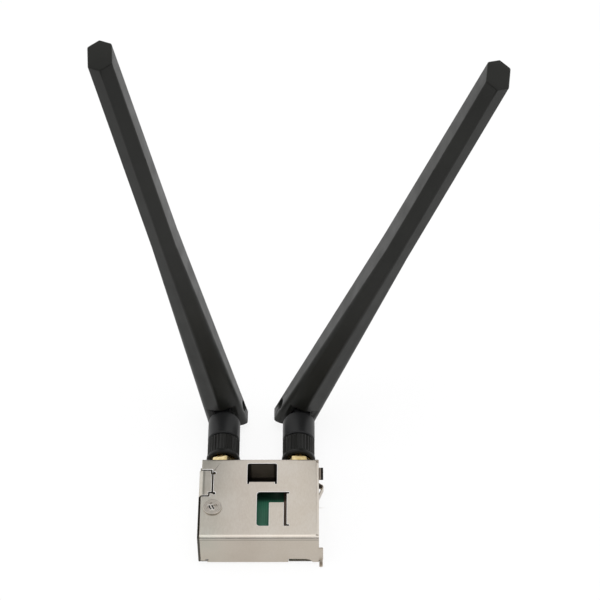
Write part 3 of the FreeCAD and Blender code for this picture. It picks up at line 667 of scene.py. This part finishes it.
def shapeCollar(form, node):
    # the nut's front rim is rounded, and a groove parts it from the knurl
    low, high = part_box(node)
    breakEdges(form, collar["rim"], collar["rimSegments"], low.y / mm + collar["rimReach"])
    middle = (low + high) / 2
    place = low.y + collar["grooveBehind"] * mm
    for offset in (-collar["grooveHalf"], 0.0, collar["grooveHalf"]):
        sliceForm(form, (0, place + offset * mm, 0), (0, 1, 0))
    for corner in form.verts:
        outward = Vector((corner.co.x - middle.x, 0, corner.co.z - middle.z))
        inGroove = abs(corner.co.y - place) < collar["grooveReach"] * mm
        if inGroove and outward.length > collar["outerRadius"] * mm:
            corner.co -= outward.normalized() * collar["grooveDeep"] * mm


def softCopy(node, pieceName, material, edge, hasCollar=False):
    # the node's own form with its sharp edges broken
    form = mergedForm(node)
    if edge > 0:
        flatPanels(form)
        if hasCollar:
            shapeCollar(form, node)
        breakEdges(form, edge)
    pieceFrom(form, pieceName, material, frame["nodes"][node]["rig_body"], (node,))


# shares of a face's normal that tell a rim or an edge from the sheet's flat side
tilt = {"rim": 0.25, "edge": 0.5, "rear": 0.7, "wall": 0.4}

cover = {
    "edge": 0.16,
    "cuts": [("x", 0.97), ("y", -3.8), ("x", -11.85), ("x", 12.45)],
    "plateFrom": 12.9,
    "openings": ((-17.6, -13.4), (17.4, 14.3)),  # both windows and the slots lie in here
}


def bracketCover():
    form = mergedForm("bracket_cover")
    edgeShade, rimHighlight = edgeLayers(form)
    flatPanels(form, cover["cuts"])
    rims = set(breakEdges(form, cover["edge"]))
    (left, front), (right, rear) = cover["openings"]
    # painted highlight on the upward rims of the openings, painted shade on their cut walls
    for face in form.faces:
        middle = face.calc_center_median() / mm
        if middle.z < cover["plateFrom"] or not (left < middle.x < right and front < middle.y < rear):
            continue
        face.normal_update()
        if face in rims and face.normal.z > tilt["rim"]:
            face[rimHighlight] = 1.0
        elif abs(face.normal.z) < tilt["edge"] and face.normal.y < tilt["rear"]:
            face[edgeShade] = 1.0
    pieceFrom(form, "bracketCover", finishes["plated_steel"], "bracket",
              ("bracket_cover",))


bracketCover()

tray = {
    "edge": 0.13,
    "cuts": [("y", -11.3), ("y", 3.7)],
    "wallDepth": 0.588,  # just under the sheet's thickness
    "wallTop": 13.0,
    "wallTopRear": 0.0,
    "noseFront": -14.4,
    "noseRight": 18.0,
    "noseShade": 0.9,
    "lockTab": ((-17.8, 0.2), (-13.0, 11.6)),
    "lockTabFrom": 12.9,
}


def bracketTray():
    form = mergedForm("bracket_tray")
    edgeShade, rimHighlight = edgeLayers(form)
    flatPanels(form, tray["cuts"])
    rims = set(breakEdges(form, tray["edge"]))
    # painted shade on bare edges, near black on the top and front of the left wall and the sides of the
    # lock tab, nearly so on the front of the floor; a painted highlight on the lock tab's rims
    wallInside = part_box("bracket_tray")[0].x / mm + tray["wallDepth"]
    (left, front), (right, rear) = tray["lockTab"]
    for face in form.faces:
        face.normal_update()
        middle = face.calc_center_median() / mm
        inTop = middle.x < wallInside and middle.z > tray["wallTop"] and middle.y < tray["wallTopRear"]
        top = inTop and face.normal.z > tilt["wall"]
        inNose = middle.y < tray["noseFront"] and middle.x < tray["noseRight"]
        nose = inNose and face.normal.y < -tilt["wall"]
        onTab = left < middle.x < right and front < middle.y < rear and middle.z > tray["lockTabFrom"]
        tabSide = onTab and abs(face.normal.z) < tilt["edge"]
        face[edgeShade] = 1.0 if top or tabSide else tray["noseShade"] if nose else 0.0
        face[rimHighlight] = 1.0 if onTab and face in rims and face.normal.z > tilt["rim"] else 0.0
    pieceFrom(form, "bracketTray", finishes["plated_steel"], "bracket",
              ("bracket_tray",))


bracketTray()
softCopy("insulating_film", "insulatingFilm", finishes["black_film"], edge=0.03)
softCopy("card_board", "cardBoard", finishes["green_board"], edge=0.05)
softCopy("card_shield", "cardShield", finishes["tin_can"], edge=0.04)
softCopy("card_screw", "cardScrew", finishes["screw_steel"], edge=0.06)

plugPads = {
    "pitch": 0.5,
    "wide": 0.32,
    "long": 2.4,
    "thick": 0.03,
    "rise": 0.3,
    "inset": 0.3,
    "plugWidth": 19.8,
    "keyOffset": 5.6,
    "keyWidth": 1.2,
}


def plugContacts():
    low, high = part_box("card_board")
    middle = (low.y + high.y) / 2
    place = high.x - (plugPads["inset"] + plugPads["long"] / 2) * mm
    rise = plugPads["thick"] * mm * plugPads["rise"]
    size = Matrix.Diagonal((plugPads["long"] * mm, plugPads["wide"] * mm, plugPads["thick"] * mm, 1))
    count = int(plugPads["plugWidth"] / plugPads["pitch"]) - 1
    form = bmesh.new()
    for level in (low.z - rise, high.z + rise):
        for index in range(count):
            offset = (index - (count - 1) / 2) * plugPads["pitch"]
            if abs(offset + plugPads["keyOffset"]) < (plugPads["keyWidth"] + plugPads["pitch"]) / 2:
                continue
            spot = Matrix.Translation((place, middle + offset * mm, level))
            bmesh.ops.create_cube(form, size=1, matrix=spot @ size)
    pieceFrom(form, "plugContacts", finishes["gold_plate"], "bracket")


plugContacts()
print("bracket and card dressed")

# the end of the piece's name, its slot and the width of its broken edges
antennaPieces = {
    "hex_nut": ("HexNut", "gold_plate", 0.22),
    "lock_washer": ("LockWasher", "gold_plate", 0.06),
    "coupling_sleeve": ("CouplingSleeve", "nut_plastic", 0.05),
    "antenna_base": ("AntennaBase", "antenna_plastic", 0.10),
    "hinge_pin": ("HingePin", "pin_steel", 0.06),
    "antenna_paddle": ("AntennaPaddle", "antenna_plastic", 0.0),
}
for side in ("left", "right"):
    for part, (tail, slotName, edge) in antennaPieces.items():
        material = basePlastic if part == "antenna_base" else finishes[slotName]
        hasCollar = part == "coupling_sleeve"
        softCopy(side + "_" + part, side + tail, material, edge, hasCollar)
print("antennas dressed")

# what keeps its form from model.glb only takes a finish
keptNodes = {
    "card_front_socket": "gold_plate",
    "card_rear_socket": "gold_plate",
    "card_standoff": "turned_brass",
    "card_spacer": "turned_brass",
}
keptPerSide = {
    "_jack_body": "gold_plate",
    "_jack_insulator": "white_insulator",
    "_jack_contact": "gold_plate",
    "_coupling_insert": "gold_plate",
    "_ferrule": "gold_plate",
    "_centre_pin": "gold_plate",
}
for side in ("left", "right"):
    for tail, slotName in keptPerSide.items():
        keptNodes[side + tail] = slotName
for node, slotName in keptNodes.items():
    for slot in frame["nodes"][node].material_slots:
        slot.material = finishes[slotName]


# Studio

studio = {
    "worldFill": 0.55,
    "floorClear": 0.86,
    "floorThin": 0.78,
    "floorDiffuse": 0.85,
    "floorSpan": 6.0,
    "floorDrop": 0.00005,
}


def seenOf(tree):
    # rays that show the background: the camera's own, and those off metal or through a clear piece
    rays = tree.nodes.new("ShaderNodeLightPath")
    seen = mathOf(tree, "MAXIMUM", rays.outputs["Is Camera Ray"], rays.outputs["Is Glossy Ray"])
    return mathOf(tree, "MAXIMUM", seen, rays.outputs["Is Transmission Ray"])


def whiteWorld():
    world = bpy.data.worlds.new("whiteRoom")
    scene.world = world
    world.use_nodes = True
    tree = world.node_tree
    background = tree.nodes["Background"]
    background.inputs["Color"].default_value = (1, 1, 1, 1)
    strength = rangeOf(tree, seenOf(tree), 0.0, 1.0, studio["worldFill"], 1.0)
    tree.links.new(strength, background.inputs["Strength"])


def paleFloor():
    material = bpy.data.materials.new("paleFloor")
    material.use_nodes = True
    tree = material.node_tree
    tree.nodes.remove(tree.nodes["Principled BSDF"])
    seen = seenOf(tree)
    matte = tree.nodes.new("ShaderNodeBsdfDiffuse")
    matte.inputs["Color"].default_value = (*greyOf(studio["floorDiffuse"]), 1)
    # seen, it is a thin veil that keeps the shadow: the white room and a blade below it show through
    below = tree.nodes.new("ShaderNodeNewGeometry").outputs["Backfacing"]
    clear = tree.nodes.new("ShaderNodeBsdfTransparent")
    share = rangeOf(tree, below, 0.0, 1.0, studio["floorClear"], 1.0)
    tree.links.new(productOf(tree, seen, share), clear.inputs["Color"])
    dark = tree.nodes.new("ShaderNodeBsdfTransparent")
    dark.inputs["Color"].default_value = (0, 0, 0, 1)
    thin = tree.nodes.new("ShaderNodeMixShader")
    veil = rangeOf(tree, below, 0.0, 1.0, studio["floorThin"], 1.0)
    tree.links.new(productOf(tree, seen, veil), thin.inputs["Fac"])
    tree.links.new(matte.outputs["BSDF"], thin.inputs[1])
    tree.links.new(dark.outputs["BSDF"], thin.inputs[2])
    both = tree.nodes.new("ShaderNodeAddShader")
    tree.links.new(thin.outputs["Shader"], both.inputs[0])
    tree.links.new(clear.outputs["BSDF"], both.inputs[1])
    tree.links.new(both.outputs["Shader"], tree.nodes["Material Output"].inputs["Surface"])
    return material


def flatCard(name, corners, material):
    card = bmesh.new()
    card.faces.new([card.verts.new(corner) for corner in corners])
    mesh = bpy.data.meshes.new(name)
    card.to_mesh(mesh)
    card.free()
    mesh.materials.append(material)
    piece = bpy.data.objects.new(name, mesh)
    scene.collection.objects.link(piece)
    return piece


def layFloor():
    half = studio["floorSpan"] / 2
    level = cadBox[0][2] - studio["floorDrop"]
    corners = ((-half, -half), (half, -half), (half, half), (-half, half))
    flatCard("floor", [(x, y, level) for x, y in corners], paleFloor())


flag = {"near": -1.1, "wide": 2.2, "level": (0.0, 0.75), "tone": 0.03, "roughness": 0.9}


def hangFlag():
    # a black card in front darkens what the plate and the blades mirror
    cloth = bpy.data.materials.new("flagCloth")
    cloth.use_nodes = True
    shader = cloth.node_tree.nodes["Principled BSDF"]
    shader.inputs["Base Color"].default_value = (*greyOf(flag["tone"]), 1)
    shader.inputs["Roughness"].default_value = flag["roughness"]
    half = flag["wide"] / 2
    low, high = flag["level"]
    corners = ((-half, low), (half, low), (half, high), (-half, high))
    card = flatCard("blackFlag", [(x, flag["near"], z) for x, z in corners], cloth)
    card.visible_camera = False
    card.visible_diffuse = False
    card.visible_shadow = False


softboxAim = (0.0, 0.02, 0.03)
softboxes = {
    "topSoftbox": {"size": (0.7, 0.5), "place": (0.0, -0.05, 0.95), "radiance": 2.2},
    "leftSoftbox": {"size": (0.5, 0.7), "place": (-0.95, -0.15, 0.45), "radiance": 0.9},
    "rightSoftbox": {"size": (0.5, 0.7), "place": (0.95, -0.15, 0.45), "radiance": 0.9},
}


def hangSoftbox(name, size, place, radiance):
    lamp = bpy.data.lights.new(name, "AREA")
    lamp.shape = "RECTANGLE"
    lamp.size, lamp.size_y = size
    lamp.energy = radiance * math.pi * size[0] * size[1]
    box = bpy.data.objects.new(name, lamp)
    box.location = place
    box.rotation_mode = "QUATERNION"
    box.rotation_quaternion = (Vector(softboxAim) - Vector(place)).to_track_quat("-Z", "Y")
    box.visible_camera = False
    box.visible_glossy = False  # metal mirrors the room and the flag alone, so no view clips
    scene.collection.objects.link(box)


whiteWorld()
layFloor()
hangFlag()
for name, box in softboxes.items():
    hangSoftbox(name, **box)
print("studio lit")

lens = {
    "focalPixels": 2200.0,
    "framePixels": 600,
    "sensor": 36.0,
    "clip": (0.01, 20),
    "pitch": 48.275,
    "yaw": -0.533,
    "roll": -0.486,
    "place": (17.384, -414.261, 571.606),  # millimetres
}


def photoCamera():
    pitch, yaw, roll = (math.radians(lens[key]) for key in ("pitch", "yaw", "roll"))
    level = Vector((math.cos(yaw), -math.sin(yaw), 0))
    forward = Vector((math.sin(yaw) * math.cos(pitch), math.cos(yaw) * math.cos(pitch), -math.sin(pitch)))
    upright = level.cross(forward)
    right = level * math.cos(roll) + upright * math.sin(roll)
    up = upright * math.cos(roll) - level * math.sin(roll)
    data = bpy.data.cameras.new("photoCamera")
    data.sensor_width = lens["sensor"]
    data.lens = lens["sensor"] * lens["focalPixels"] / lens["framePixels"]
    data.clip_start, data.clip_end = lens["clip"]
    camera = bpy.data.objects.new("photoCamera", data)
    turn = Matrix((right, up, -forward)).transposed().to_4x4()
    camera.matrix_world = Matrix.Translation(Vector(lens["place"]) * mm) @ turn
    scene.collection.objects.link(camera)
    scene.camera = camera


photoCamera()
print("camera set")
